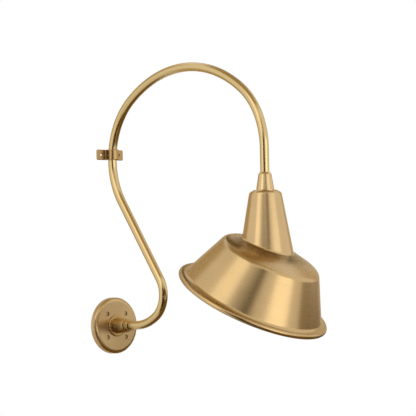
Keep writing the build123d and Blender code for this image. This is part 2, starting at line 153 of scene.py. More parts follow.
@dataclass(frozen=True)
class LatheFrame:
    """Where a turned piece's axis stands: its origin in metres and its turn from upright."""

    origin: tuple[float, float, float]
    rotation: tuple[float, float, float]

    def matrix(self) -> Matrix:
        """Places a piece that was turned about the upright axis."""
        return Matrix.LocRotScale(Vector(self.origin), Euler(self.rotation), None)

    def axis(self) -> Vector:
        """Gives the direction of the axis."""
        return self.matrix().to_3x3() @ UPRIGHT


@dataclass(frozen=True)
class BrassFinish:
    """Satin brass: drawn or spun, scoured with a fine pad while it turned, then lacquered.

    The scouring leaves rings of very fine lines about the axis, so its highlights spread
    along the axis and stay narrow around it. The lacquer keeps it even. Hollows, where
    nearby surfaces close in, are painted browner and rougher as painted shade, and handled
    edges go paler and glossier.
    """

    name: str
    metal: str = "ceaf7e"
    # The brown that the random tint leans to, also used as painted shade in the hollows.
    brown_for_tint_and_shade: str = "8f7140"
    edge: str = "e6cda2"
    roughness: float = 0.30
    roughness_swing: float = 0.03
    anisotropy: float = 0.6
    across_the_lines: float = 0.25  # of a turn, from the tangent to the way highlights spread
    lacquer: float = 0.12
    lacquer_roughness: float = 0.25
    line_spacing: float = 2.2  # mm, drawn coarser than the real 0.2 mm so that it shows
    line_depth: float = 0.004  # mm
    line_relief: float = 0.5
    ring_drift: float = 0.02  # how much a ring changes on its way round
    stroke_drift: float = 0.08  # how much a stroke by hand changes along its length
    mottle_size: float = 38.0  # mm
    tint_of_lines: float = 0.55  # the lines' part in the tint, against the mottle's one
    tint_range: tuple[float, float] = (0.45, 1.1)  # of both together: none, full
    tint_swing: float = 0.10  # how far the tint takes the metal towards that brown
    tint_in_gloss: float = 0.7  # the tint's part in the roughness, against the painted shade's one
    dullest: float = 1.2  # both together, where the brass is at its roughest
    edge_width: float = 1.0  # mm
    edge_range: tuple[float, float] = (0.97, 0.85)  # cosine of the bend: unworn, fully worn
    edge_cover: float = 0.6
    # Painted shade: browner and rougher where nearby surfaces close in, found by ambient
    # occlusion.
    painted_shade_reach: float = 7.0  # mm
    painted_shade_range: tuple[float, float] = (0.75, 0.25)  # share of open air: no painted shade, full painted shade
    painted_shade_cover: float = 0.4

    def build(self, lathe: LatheFrame | None = None) -> Material:
        """Makes the material.

        Args:
            lathe: The axis that the lines run about, or None for a piece scoured by hand.

        Returns:
            The material.
        """
        material, tree = new_material(self.name)
        surface = add_node(tree, "TexCoord").outputs["Object"]
        place: Any = surface
        if lathe:
            turned = {"Vector": surface, "Location": lathe.origin, "Rotation": lathe.rotation}
            place = add_node(tree, "Mapping", turned, vector_type="TEXTURE").outputs[0]
        lines = self.lines(tree, place, turned=lathe is not None)
        tint = self.tint(tree, place, lines)
        # Worn edges, and painted shade in the hollows.
        worn, painted_shade = self.wear(tree)
        colour: Any = linear(self.metal)
        # Random tint, painted shade in the hollows, then pale worn edges.
        for mask, cover, paint in (
            (tint, self.tint_swing, self.brown_for_tint_and_shade),
            (painted_shade, self.painted_shade_cover, self.brown_for_tint_and_shade),
            (worn, self.edge_cover, self.edge),
        ):
            share = add_node(tree, "Math", {0: mask, 1: cover}, operation="MULTIPLY")
            layers = {"Factor": share, "A": colour, "B": linear(paint)}
            colour = add_node(tree, "Mix", layers, data_type="RGBA").outputs["Result"]
        dull = add_node(
            tree, "Math", {0: tint, 1: self.tint_in_gloss, 2: painted_shade}, operation="MULTIPLY_ADD"
        )
        rough = add_node(
            tree,
            "MapRange",
            {
                "Value": dull,
                "From Max": self.dullest,
                "To Min": self.roughness - self.roughness_swing,
                "To Max": self.roughness + self.roughness_swing,
            },
        )
        relief = {"Height": lines, "Strength": self.line_relief, "Distance": self.line_depth * MM}
        shading: dict[str | int, Any] = {
            "Base Color": colour,
            "Roughness": rough,
            "Normal": add_node(tree, "Bump", relief),
            "Metallic": 1.0,
            "Coat Weight": self.lacquer,
            "Coat Roughness": self.lacquer_roughness,
        }
        if lathe:
            shading["Anisotropic"] = self.anisotropy
            shading["Anisotropic Rotation"] = self.across_the_lines
            shading["Tangent"] = self.way_round(tree, surface, lathe)
        shader = add_node(tree, "BsdfPrincipled", shading)
        add_node(tree, "OutputMaterial", {"Surface": shader})
        return material

    def lines(self, tree: NodeTree, place: NodeSocket, turned: bool) -> Node:
        """Draws the scouring lines.

        Args:
            tree: The material's nodes.
            place: Coordinates, about the upright axis where the piece is turned.
            turned: Whether the lines are rings about the axis.

        Returns:
            The lines' node, from zero to one.
        """
        x, y, z = add_node(tree, "SeparateXYZ", {0: place}).outputs
        if turned:
            spoke = add_node(tree, "CombineXYZ", {0: x, 1: y})
            radius = add_node(tree, "VectorMath", {0: spoke}, operation="LENGTH").outputs["Value"]
            drift = add_node(tree, "Math", {0: x, 1: self.ring_drift}, operation="MULTIPLY")
            grain = add_node(tree, "CombineXYZ", {0: radius, 1: z, 2: drift})
        else:
            drift = add_node(tree, "Math", {0: z, 1: self.stroke_drift}, operation="MULTIPLY")
            grain = add_node(tree, "CombineXYZ", {0: x, 1: y, 2: drift})
        fine = {"Vector": grain, "Scale": 1 / (self.line_spacing * MM), "Detail": 1.0}
        return add_node(tree, "TexNoise", fine)

    def tint(self, tree: NodeTree, place: NodeSocket, lines: Node) -> Node:
        """Draws where the brass is browner, in its lines and in broad soft patches.

        Args:
            tree: The material's nodes.
            place: The coordinates that the lines are drawn on.
            lines: The lines' node.

        Returns:
            The tint's node, from zero to one.
        """
        broad = {"Vector": place, "Scale": 1 / (self.mottle_size * MM), "Detail": 3.0}
        mottle = add_node(tree, "TexNoise", broad)
        both = add_node(
            tree, "Math", {0: lines, 1: self.tint_of_lines, 2: mottle}, operation="MULTIPLY_ADD"
        )
        low, high = self.tint_range
        return add_node(tree, "MapRange", {"Value": both, "From Min": low, "From Max": high})

    def wear(self, tree: NodeTree) -> tuple[Node, Node]:
        """Finds the edges that hands polish, and paints shade into the hollows.

        Args:
            tree: The material's nodes.

        Returns:
            The worn edges' node and the painted shade's node, each from zero to one.
        """
        rounded = add_node(tree, "Bevel", {"Radius": self.edge_width * MM}, samples=4)
        faces = add_node(tree, "NewGeometry").outputs["Normal"]
        bend = add_node(tree, "VectorMath", {0: rounded, 1: faces}, operation="DOT_PRODUCT")
        # Painted shade: ambient occlusion within a few mm darkens the hollows.
        within = {"Distance": self.painted_shade_reach * MM}
        air = add_node(tree, "AmbientOcclusion", within, samples=6)
        masks = (
            (bend.outputs["Value"], self.edge_range),
            (air.outputs["AO"], self.painted_shade_range),
        )
        worn, painted_shade = (
            add_node(tree, "MapRange", {"Value": value, "From Min": none, "From Max": full})
            for value, (none, full) in masks
        )
        return worn, painted_shade

    def way_round(self, tree: NodeTree, surface: NodeSocket, lathe: LatheFrame) -> Node:
        """Gives the direction of the lines at each point.

        Args:
            tree: The material's nodes.
            surface: The object's own coordinates.
            lathe: The axis that the lines run about.

        Returns:
            The direction's node, in world space.
        """
        arm = add_node(tree, "VectorMath", {0: surface, 1: lathe.origin}, operation="SUBTRACT")
        cross = {0: tuple(lathe.axis()), 1: arm}
        way = add_node(tree, "VectorMath", cross, operation="CROSS_PRODUCT")
        return add_node(
            tree,
            "VectorTransform",
            {0: way},
            vector_type="VECTOR",
            convert_from="OBJECT",
            convert_to="WORLD",
        )


@dataclass(frozen=True)
class GrainedFinish:
    """A surface with a fine grain in its colour, its gloss and its height.

    Zinc plate, screw paint, glazed porcelain and rubber are made with it, each with the
    colours, the grain and the gloss of its own.
    """

    name: str
    colour: str
    grain_colour: str
    roughness: float  # where the grain is lowest
    grain: float  # mm
    depth: float  # mm
    roughness_swing: float = 0.15
    detail: float = 4.0
    detail_share: float = 0.5
    relief: float = 0.4
    metallic: float = 0.0
    glaze: float = 0.0
    glaze_roughness: float = 0.06

    def build(self) -> Material:
        """Makes the material.

        Returns:
            The material.
        """
        material, tree = new_material(self.name)
        grain = add_node(
            tree,
            "TexNoise",
            {
                "Vector": add_node(tree, "TexCoord").outputs["Object"],
                "Scale": 1 / (self.grain * MM),
                "Detail": self.detail,
                "Roughness": self.detail_share,
            },
        )
        tones = {"Factor": grain, "A": linear(self.colour), "B": linear(self.grain_colour)}
        gloss = {0: grain, 1: self.roughness_swing, 2: self.roughness}
        relief = {"Height": grain, "Strength": self.relief, "Distance": self.depth * MM}
        shader = add_node(
            tree,
            "BsdfPrincipled",
            {
                "Base Color": add_node(tree, "Mix", tones, data_type="RGBA").outputs["Result"],
                "Roughness": add_node(tree, "Math", gloss, operation="MULTIPLY_ADD"),
                "Normal": add_node(tree, "Bump", relief),
                "Metallic": self.metallic,
                "Coat Weight": self.glaze,
                "Coat Roughness": self.glaze_roughness,
            },
        )
        add_node(tree, "OutputMaterial", {"Surface": shader})
        return material


@dataclass(frozen=True)
class Corner:
    """A corner of a turned section, in mm: radius, height and the round on it."""

    radius: float
    height: float
    round: float = 0.0


def section_path(bm: BMesh, corners: list[Corner], closed: bool) -> None:
    """Draws a turned piece's section and rounds its corners.

    Args:
        bm: The mesh to draw in.
        corners: The section's corners.
        closed: Whether the last corner joins the first.
    """
    points = [bm.verts.new((c.radius, 0, c.height)) for c in corners]
    for pair in zip(points, points[1:] + points[:1] if closed else points[1:]):
        bm.edges.new(pair)
    for i, corner in enumerate(corners):
        if not corner.round:
            continue
        before, after = corners[i - 1], corners[(i + 1) % len(corners)]
        to_before = Vector((before.radius - corner.radius, before.height - corner.height))
        to_after = Vector((after.radius - corner.radius, after.height - corner.height))
        turn = math.pi - to_before.angle(to_after)
        bmesh.ops.bevel(
            bm,
            geom=[points[i]],
            offset=corner.round * math.tan(turn / 2),
            offset_type="OFFSET",
            segments=max(LEAST_ROUND_FACES, round(math.degrees(turn) / ROUND_STEP)),
            profile=0.5,
            affect="VERTICES",
            material=-1,
        )


def spin_section(bm: BMesh, steps: int) -> None:
    """Spins everything in the mesh a full turn about the upright axis.

    Args:
        bm: The mesh that holds the section.
        steps: Faces in the full turn.
    """
    bmesh.ops.spin(
        bm,
        geom=bm.verts[:] + bm.edges[:],
        cent=(0, 0, 0),
        axis=UPRIGHT,
        dvec=(0, 0, 0),
        angle=FULL_TURN,
        steps=steps,
        use_merge=True,
        use_normal_flip=False,
        use_duplicate=False,
    )
    bmesh.ops.remove_doubles(bm, verts=bm.verts, dist=MERGE_DISTANCE)
    bmesh.ops.recalc_face_normals(bm, faces=bm.faces)


def show_mesh(name: str, bm: BMesh, material: Material) -> Object:
    """Puts a mesh in the scene, at the origin.

    Args:
        name: The object's name.
        bm: The mesh. It is freed.
        material: The object's material.

    Returns:
        The object.
    """
    mesh = bpy.data.meshes.new(name)
    bm.to_mesh(mesh)
    bm.free()
    mesh.materials.append(material)
    shown = bpy.data.objects.new(name, mesh)
    bpy.context.scene.collection.objects.link(shown)
    return shown


def flat_sheet(name: str, width: float, height: float, material: Material) -> Object:
    """Makes a flat stage piece that lies about the origin and faces up.

    Args:
        name: The piece's name.
        width: Its size along X, in metres.
        height: Its size along Y, in metres.
        material: Its material.

    Returns:
        The object.
    """
    bm = bmesh.new()
    bmesh.ops.create_grid(bm, x_segments=1, y_segments=1, size=0.5)
    bmesh.ops.scale(bm, vec=(width, height, 1), verts=bm.verts)
    return show_mesh(name, bm, material)


def finish_piece(name: str, bm: BMesh, material: Material, place: Matrix) -> Object:
    """Turns a mesh into a finished piece of the light, at the origin.

    Some operators leave a mesh's points, edges and faces in another order on each run, so
    they are sorted first.

    Args:
        name: The piece's name.
        bm: The mesh, in mm. It is freed.
        material: The piece's material.
        place: Where the piece goes, in metres.

    Returns:
        The piece.
    """
    bm.verts.sort(key=lambda vert: vert.co.dot(SORT_WAY))
    bm.edges.sort(key=lambda edge: (edge.verts[0].co + edge.verts[1].co).dot(SORT_WAY))
    bm.faces.sort(key=lambda face: face.calc_center_median().dot(SORT_WAY))
    bmesh.ops.transform(bm, matrix=place @ Matrix.Scale(MM, 4), verts=bm.verts)
    piece = show_mesh(name, bm, material)
    piece.data.shade_smooth()
    piece.data.set_sharp_from_angle(angle=math.radians(SHARP_ANGLE))
    piece.modifiers.new("even_normals", "WEIGHTED_NORMAL").keep_sharp = True
    return piece


def enlist(piece: Object, body: Body, slot: Slot, *nodes: str) -> None:
    """Hangs a finished piece on its body, hides the CAD nodes that it stands for and logs it.

    Args:
        piece: The piece.
        body: What it moves with.
        slot: Not used.
        *nodes: CAD nodes that it replaces.
    """
    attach(piece, body.value)
    if nodes:
        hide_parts(*nodes)
    LOG.info("%s: %d faces, rides on %s", piece.name, len(piece.data.polygons), body.value)


@dataclass
class Palette:
    """The finishes that several sub-assemblies share, each built once."""

    # Zinc plate over steel: a cold grey between the warm pieces, mottled by its passivation.
    steel: Material = field(
        default_factory=GrainedFinish(
            "zinc_plated_steel",
            "b4b6b4",
            "8f9496",
            roughness=0.26,
            grain=3.0,
            depth=0.02,
            roughness_swing=0.16,
            detail=5.0,
            detail_share=0.65,
            relief=0.3,
            metallic=1.0,
        ).build
    )
    # Turned brass without lacquer: yellower and glossier than the outside of the light.
    plain: Material = field(
        default_factory=BrassFinish(
            "plain_turned_brass", metal="d3b06c", roughness=0.25, lacquer=0.0
        ).build
    )
    # Green paint marks the earth screw: thin and satin, so the steel's grain shows in it.
    green: Material = field(
        default_factory=GrainedFinish(
            "green_screw_paint", "1f6b35", "174f28", roughness=0.38, grain=1.5, depth=0.02
        ).build
    )
    # Glazed porcelain: off-white with a warm cast, and small hard highlights in its glaze.
    porcelain: Material = field(
        default_factory=GrainedFinish(
            "glazed_porcelain",
            "eeeae0",
            "e2dccd",
            roughness=0.05,
            grain=12.0,
            depth=0.01,
            glaze=0.6,
        ).build
    )
    # Extruded rubber: near black, dusty and without a clear highlight.
    rubber: Material = field(
        default_factory=GrainedFinish(
            "rubber_jacket", "1b1a19", "2a2826", roughness=0.68, grain=1.2, depth=0.03
        ).build
    )


@dataclass
class SubAssembly:
    """Pieces that are made and finished together. Sizes in mm."""

    body: ClassVar[Body] = Body.ARM
    palette: Palette

    def finishes(self) -> dict[str, Material]:
        """Gives the finish of each CAD node, by the node's name."""
        raise NotImplementedError

    def build(self) -> None:
        """Makes the pieces that the frame leaves plain. Most sub-assemblies have none."""

    def dress(self) -> None:
        """Gives each CAD node of the sub-assembly its finish."""
        for node, material in self.finishes().items():
            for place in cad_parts[node].material_slots:
                place.material = material
            LOG.info("%s: dressed in %s, rides on %s", node, material.name, self.body.value)


@dataclass
class WallPlate(SubAssembly):
    """The round canopy, the steel plate behind it and the screws that join them."""

    axis: LatheFrame
    line_spacing: float = 1.6
    line_depth: float = 0.0015

    def finishes(self) -> dict[str, Material]:
        """Gives a spun canopy, a plated plate and a painted earth screw.

        Returns:
            The finish of each node.
        """
        # Spun satin brass: rings of fine lines about the wall axis, which fan its highlight.
        canopy = BrassFinish(
            "satin_brass_spun_canopy",
            roughness=0.32,
            line_spacing=self.line_spacing,
            line_depth=self.line_depth,
        ).build(self.axis)
        return {
            "canopy": canopy,
            "canopy_screws": canopy,
            "mounting_plate": self.palette.steel,
            "ground_screw": self.palette.green,
        }


@dataclass
class Hub(SubAssembly):
    """The flange, hub and collar that carry the arm, and the nipple and nut behind them."""

    axis: LatheFrame
    line_spacing: float = 1.2
    line_depth: float = 0.0015

    def finishes(self) -> dict[str, Material]:
        """Gives turned brass outside and plated fastenings.

        Returns:
            The finish of each node.
        """
        # Turned satin brass: finer rings than on spun sheet, so a little glossier.
        turned = BrassFinish(
            "satin_brass_turned_hub",
            metal="c8a66d",
            roughness=0.28,
            line_spacing=self.line_spacing,
            line_depth=self.line_depth,
        ).build(self.axis)
        outside = ("hub_flange", "hub", "hub_collar")
        plated = ("hub_grub_screw", "hub_nipple", "hub_washer", "hub_nut")
        return dict.fromkeys(outside, turned) | dict.fromkeys(plated, self.palette.steel)


@dataclass
class Arm(SubAssembly):
    """The bent tube, the clip that holds it to the wall and the lead inside it."""

    line_spacing: float = 2.2
    line_depth: float = 0.0002
    clip_line_spacing: float = 1.4
    clip_line_depth: float = 0.002

    def finishes(self) -> dict[str, Material]:
        """Gives a drawn tube, a pressed clip and a rubber-jacketed lead.

        Returns:
            The finish of each node.
        """
        # Drawn satin brass: rubbed along its length, so long narrow highlights and no rings.
        drawn = BrassFinish(
            "satin_brass_drawn_tube",
            metal="d4b983",
            roughness=0.21,
            tint_swing=0.05,
            line_spacing=self.line_spacing,
            line_depth=self.line_depth,
        ).build()
        # Pressed from strip, which leaves it browner and more uneven than the tube.
        pressed = BrassFinish(
            "satin_brass_pressed_clip",
            metal="b59461",
            line_spacing=self.clip_line_spacing,
            line_depth=self.clip_line_depth,
        ).build()
        return {"gooseneck_tube": drawn, "wall_clip": pressed, "supply_lead": self.palette.rubber}


@dataclass
class Swivel(SubAssembly):
    """The ferrule at the tube's end and the nipple that the head hangs and turns on."""

    axis: LatheFrame
    line_spacing: float = 1.0
    line_depth: float = 0.001

    def finishes(self) -> dict[str, Material]:
        """Gives turned brass outside, plain brass bearings and plated fastenings.

        Returns:
            The finish of each node.
        """
        # Turned satin brass with the finest lines of all, and so the clearest highlights.
        turned = BrassFinish(
            "satin_brass_turned_ferrule",
            metal="d8bb89",
            roughness=0.22,
            line_spacing=self.line_spacing,
            line_depth=self.line_depth,
        ).build(self.axis)
        return {
            "ferrule": turned,
            "cover_washer": turned,
            "arm_bushing": self.palette.plain,
            "swivel_washer": self.palette.plain,
            "arm_nipple": self.palette.steel,
            "swivel_nut": self.palette.steel,
        }


@dataclass
class LampHolder(SubAssembly):
    """The porcelain lamp holder with its brass cap, screw shell and contact."""

    def finishes(self) -> dict[str, Material]:
        """Gives a glazed body and brass metalwork."""
        brass = ("holder_cap", "lamp_shell", "lamp_contact")
        return dict.fromkeys(brass, self.palette.plain) | {"holder_body": self.palette.porcelain}


@dataclass
class Head(SubAssembly):
    """The turning head: a spun cone neck brazed to a tilted bell shade.

    Points and directions are in mm, in the frame of the whole light, unless they are said
    to be in a piece's own lathe frame.
    """

    body: ClassVar[Body] = Body.HEAD
    reach: float
    neck_top: float
    line_spacing: float = 2.2
    line_depth: float = 0.003
    turn: float = 12.0
    tilt: float = 28.7
    shade_drop: float = 161.6
    shade_axis_height: float = 84.9
    bore_radius: float = 4.9
    neck_radius: float = 33.7
    neck_taper: float = 10.1
    neck_round: float = 9.5
    neck_wall: float = 2.0
    foot_band: float = 1.0  # points less than this above the foot are trimmed to the crown
    rim_radius: float = 169.0
    bead_radius: float = 5.6
    bead_lap: float = 1.0
    lip_width: float = 8.3
    lip_round: float = 11.0
    shoulder_radius: float = 108.8
    shoulder_height: float = 111.0
    shoulder_round: float = 14.3
    crown_slope: float = 18.5
    shade_wall: float = 1.6
    opening_radius: float = 38.0
    braze_width: float = 3.2
    braze_rows: int = 6
    steps: int = 192
    neck_growth: float = field(init=False)
    crown_growth: float = field(init=False)
    foot_radius: float = field(init=False)
    foot_middle: Vector = field(init=False)
    up: Vector = field(init=False)
    rim_middle: Vector = field(init=False)
    neck_frame: LatheFrame = field(init=False)
    shade_frame: LatheFrame = field(init=False)
    neck_brass: Material = field(init=False)
    shade_brass: Material = field(init=False)

    def __post_init__(self) -> None:
        """Works out how the head hangs, and makes its two finishes."""
        self.neck_growth = math.tan(math.radians(self.neck_taper))
        self.crown_growth = math.tan(math.radians(self.crown_slope))
        self.foot_radius = self.neck_radius + self.shade_drop * self.neck_growth
        self.foot_middle = Vector((0, -self.reach, self.neck_top - self.shade_drop))
        turn, tilt = math.radians(self.turn), math.radians(self.tilt)
        out = Vector((math.sin(turn), -math.cos(turn), 0))
        self.up = UPRIGHT * math.cos(tilt) + out * math.sin(tilt)
        self.rim_middle = self.foot_middle - self.up * self.shade_axis_height
        lean = UPRIGHT.rotation_difference(self.up).to_euler()
        self.shade_frame = LatheFrame(tuple(self.rim_middle * MM), tuple(lean))
        self.neck_frame = LatheFrame((0, -self.reach * MM, self.neck_top * MM), (0, 0, 0))
        # Spun satin brass, scoured round the neck: upright bands, crisp at their sides.
        self.neck_brass = BrassFinish(
            "satin_brass_spun_neck",
            roughness=0.26,
            line_spacing=self.line_spacing,
            line_depth=self.line_depth,
        ).build(self.neck_frame)
        # The larger bell is scoured more coarsely, so its bands are softer. Its brass is set a
        # little darker and browner than the neck's, as painted shade on the bell.
        self.shade_brass = BrassFinish(
            "satin_brass_spun_shade",
            metal="c8a977",
            roughness=0.28,
            anisotropy=0.5,
            line_spacing=self.line_spacing,
            line_depth=self.line_depth,
        ).build(self.shade_frame)

    def finishes(self) -> dict[str, Material]:
        """Gives the hidden CAD solids the finishes of the pieces that replace them."""
        return {"neck": self.neck_brass, "shade": self.shade_brass}

    def build(self) -> None:
        """Makes the neck, the shade and the braze, and lists them."""
        enlist(self.build_neck(), self.body, Slot.SATIN_BRASS, "neck")
        enlist(self.build_shade(), self.body, Slot.SATIN_BRASS, "shade")
        enlist(self.build_braze(), self.body, Slot.SATIN_BRASS)

    def above_crown(self, point: Vector) -> float:
        """Gives how far a point stands above the crown, along the shade's axis.

        Args:
            point: The point.

        Returns:
            The height in mm, less than zero below the crown.
        """
        arm = point - self.rim_middle
        height = arm.dot(self.up)
        radius = (arm - self.up * height).length
        return height - self.shoulder_height - (self.shoulder_radius - radius) * self.crown_growth

    def outside_opening(self, point: Vector) -> float:
        """Gives how far a point stands outside the opening that the neck stands over."""
        return math.hypot(point.x, point.y + self.reach) - self.opening_radius

    def up_the_flank(self, spoke: Vector) -> Vector:
        """Gives the direction up the neck's flank, on the side that a spoke points to."""
        return (UPRIGHT - spoke * self.neck_growth).normalized()

    def slide(
        self, point: Vector, way: Vector, measure: Callable[[Vector], float], limit: float
    ) -> Vector:
        """Slides a point along a line until a measure changes sign.

        Args:
            point: Where it starts.
            way: The line's direction.
            measure: A function of a point.
            limit: The furthest that it may go.

        Returns:
            The point where the measure is zero.
        """
        near, far = 0.0, limit
        start = measure(point) > 0
        for _ in range(HALVINGS):
            middle = (near + far) / 2
            if (measure(point + way * middle) > 0) == start:
                near = middle
            else:
                far = middle
        return point + way * near

    def build_neck(self) -> Object:
        """Spins the neck and trims its foot to the crown.

        Returns:
            The neck.
        """
        wall = self.neck_wall
        side = wall / math.cos(math.radians(self.neck_taper))
        corner_in = side - wall * self.neck_growth
        bm = bmesh.new()
        section_path(
            bm,
            [
                Corner(self.bore_radius, -wall),
                Corner(self.bore_radius, 0),
                Corner(self.neck_radius, 0, self.neck_round),
                Corner(self.foot_radius, -self.shade_drop),
                Corner(self.foot_radius - side, -self.shade_drop),
                Corner(self.neck_radius - corner_in, -wall, self.neck_round - wall),
            ],
            closed=True,
        )
        spin_section(bm, self.steps)
        hang = Vector((0, -self.reach, self.neck_top))
        for vert in bm.verts:
            if vert.co.z > self.foot_band - self.shade_drop:
                continue
            rise = self.up_the_flank(Vector((vert.co.x, vert.co.y, 0)).normalized())
            vert.co = self.slide(vert.co + hang, rise, self.above_crown, self.shade_drop) - hang
        return finish_piece("neck_cone", bm, self.neck_brass, self.neck_frame.matrix())

    def build_shade(self) -> Object:
        """Spins the shade, curls its rim over and opens its crown under the neck.

        Returns:
            The shade.
        """
        inner = self.opening_radius
        crown_top = self.shoulder_height + (self.shoulder_radius - inner) * self.crown_growth
        bead_top = 2 * self.bead_radius
        curl = self.rim_radius - bead_top
        bm = bmesh.new()
        section_path(
            bm,
            [
                Corner(inner, crown_top),
                Corner(self.shoulder_radius, self.shoulder_height, self.shoulder_round),
                Corner(curl + self.bead_radius - self.lip_width, bead_top, self.lip_round),
                Corner(self.rim_radius, bead_top, self.bead_radius),
                Corner(self.rim_radius, 0, self.bead_radius),
                Corner(curl, 0, self.bead_radius),
                Corner(curl, self.bead_radius + self.bead_lap),
            ],
            closed=False,
        )
        spin_section(bm, self.steps)
        place = self.shade_frame.matrix()
        lean = place.to_3x3()
        upright = lean.inverted()
        limit = 3 * inner  # into the opening from every side, but short of its far edge
        for vert in bm.verts:
            if vert.co.z < crown_top - TOUCH:
                continue
            # In the shade's lathe frame: the crown's outer end on this side, and the way in.
            spoke = Vector((vert.co.x, vert.co.y, 0)).normalized()
            edge = spoke * (self.shoulder_radius - self.shoulder_round)
            edge.z = self.shoulder_height + self.shoulder_round * self.crown_growth
            inward = (UPRIGHT * self.crown_growth - spoke).normalized()
            start = lean @ edge + self.rim_middle
            moved = self.slide(start, lean @ inward, self.outside_opening, limit)
            vert.co = upright @ (moved - self.rim_middle)
        piece = finish_piece("shade_bell", bm, self.shade_brass, place)
        sheet = piece.modifiers.new("sheet", "SOLIDIFY")
        sheet.thickness = self.shade_wall * MM
        sheet.offset = -1.0
        sheet.use_even_offset = True
        return piece

    def build_braze(self) -> Object:
        """Runs a hollow fillet of braze round the neck's foot.

        Returns:
            The braze.
        """
        bm = bmesh.new()
        ring = bmesh.ops.create_circle(
            bm, cap_ends=False, radius=self.foot_radius, segments=self.steps
        )["verts"]
        sections: list[tuple[Vector, Vector, Vector]] = []
        for vert in ring:
            spoke = vert.co.normalized()
            rise = self.up_the_flank(spoke)
            foot = self.slide(vert.co + self.foot_middle, rise, self.above_crown, self.shade_drop)
            high = foot + rise * self.braze_width
            low = foot + spoke * self.braze_width
            low -= self.up * self.above_crown(low)
            sections.append((high, foot, low))
            vert.co = high
        edges = bm.edges[:]
        for row in range(1, self.braze_rows + 1):
            grown = bmesh.ops.extrude_edge_only(bm, edges=edges)["geom"]
            edges = [g for g in grown if isinstance(g, bmesh.types.BMEdge)]
            verts = [g for g in grown if isinstance(g, bmesh.types.BMVert)]
            down = row / self.braze_rows
            for vert, (high, foot, low) in zip(verts, sections):
                vert.co = high * (1 - down) ** 2 + foot * 2 * down * (1 - down) + low * down**2
        bmesh.ops.recalc_face_normals(bm, faces=bm.faces)
        return finish_piece("neck_braze", bm, self.neck_brass, Matrix.Identity(4))


def seen_at(bearing: float, elevation: float) -> Vector:
    """Gives the direction in which something is seen from the light.

    Args:
        bearing: Degrees round from straight out of the wall.
        elevation: Degrees up from level.

    Returns:
        The direction, of length one.
    """
    turn, rise = math.radians(bearing), math.radians(elevation)
    return Vector(
        (math.sin(turn) * math.cos(rise), -math.cos(turn) * math.cos(rise), math.sin(rise))
    )


@dataclass(frozen=True)
class Camera:
    """The photograph's camera: its bearing, tilt and distance, and where the origin shows."""

    bearing: float = -42.0
    pitch: float = 2.3
    roll: float = -1.2
    distance: float = 5.448
    focal_pixels: float = 2400.0
    sensor_width: float = 36.0  # mm
    origin_pixel: tuple[float, float] = (112.65, 325.5)

    def build(self) -> None:
        """Places the camera so that the origin lands on its pixel."""
        bearing, roll = math.radians(self.bearing), math.radians(self.roll)
        forward = -seen_at(self.bearing, -self.pitch)
        level = Vector((math.cos(bearing), math.sin(bearing), 0))
        upright = level.cross(forward)
        right = level * math.cos(roll) + upright * math.sin(roll)
        above = upright * math.cos(roll) - level * math.sin(roll)
        middle = PHOTO_WIDTH / 2
        scale = self.distance / self.focal_pixels
        across = (self.origin_pixel[0] - middle) * scale
        upward = (middle - self.origin_pixel[1]) * scale
        place = -(forward * self.distance + right * across + above * upward)
        data = bpy.data.cameras.new("photo_camera")
        data.sensor_width = self.sensor_width
        data.lens = self.focal_pixels / PHOTO_WIDTH * self.sensor_width
        camera = bpy.data.objects.new("photo_camera", data)
        turn = Matrix((right, above, -forward)).transposed()
        camera.matrix_world = Matrix.Translation(place) @ turn.to_4x4()
        bpy.context.scene.collection.objects.link(camera)
        bpy.context.scene.camera = camera
        LOG.info("%s: placed", camera.name)


@dataclass(frozen=True)
class Softbox:
    """A diffused lamp: bearing and elevation as seen from the light, and its size in m."""

    name: str
    bearing: float
    elevation: float
    distance: float
    width: float
    height: float
    power: float

    def build(self, aim: Vector) -> None:
        """Hangs the softbox so that it faces a point.

        Args:
            aim: The point, in metres.
        """
        data = bpy.data.lights.new(self.name, "AREA")
        data.shape = "RECTANGLE"
        data.size = self.width
        data.size_y = self.height
        data.energy = self.power
        lamp = bpy.data.objects.new(self.name, data)
        way = seen_at(self.bearing, self.elevation)
        lamp.location = aim + way * self.distance
        lamp.rotation_euler = way.to_track_quat("Z", "Y").to_euler()
        lamp.visible_camera = False
        bpy.context.scene.collection.objects.link(lamp)
        LOG.info("%s: hung", self.name)


@dataclass(frozen=True)
class Card:
    """A felt card that only reflections see. Places and sizes in m.

    Its edges fade out, as those of a card do that stands out of focus.
    """

    name: str
    place: tuple[float, float, float]
    faces: tuple[float, float, float]
    width: float
    height: float
    felt: str
    fade: float

    def build(self) -> None:
        """Hangs the card, seen by glossy rays alone."""
        # Dyed felt: matt, so the brass shows it as an even patch of a darker tone.
        material, tree = new_material(self.name + "_felt")
        place = add_node(tree, "TexCoord").outputs["Object"]
        x, y, _ = add_node(tree, "SeparateXYZ", {0: place}).outputs
        cover: Any = 1.0
        for part, size in ((x, self.width), (y, self.height)):
            from_middle = add_node(tree, "Math", {0: part}, operation="ABSOLUTE")
            span = {"Value": from_middle, "From Min": size / 2, "From Max": size / 2 - self.fade}
            solid = add_node(tree, "MapRange", span, interpolation_type="SMOOTHERSTEP")
            cover = add_node(tree, "Math", {0: cover, 1: solid}, operation="MULTIPLY")
        felt = add_node(tree, "BsdfDiffuse", {"Color": linear(self.felt)})
        clear = add_node(tree, "BsdfTransparent")
        mix = add_node(tree, "MixShader", {0: cover, 1: clear, 2: felt})
        add_node(tree, "OutputMaterial", {"Surface": mix})
        hung = flat_sheet(self.name, self.width, self.height, material)
        hung.location = self.place
        hung.rotation_euler = Vector(self.faces).to_track_quat("Z", "Y").to_euler()
        for ray in ("camera", "diffuse", "shadow", "transmission"):
            setattr(hung, "visible_" + ray, False)
        LOG.info("%s: hung", self.name)


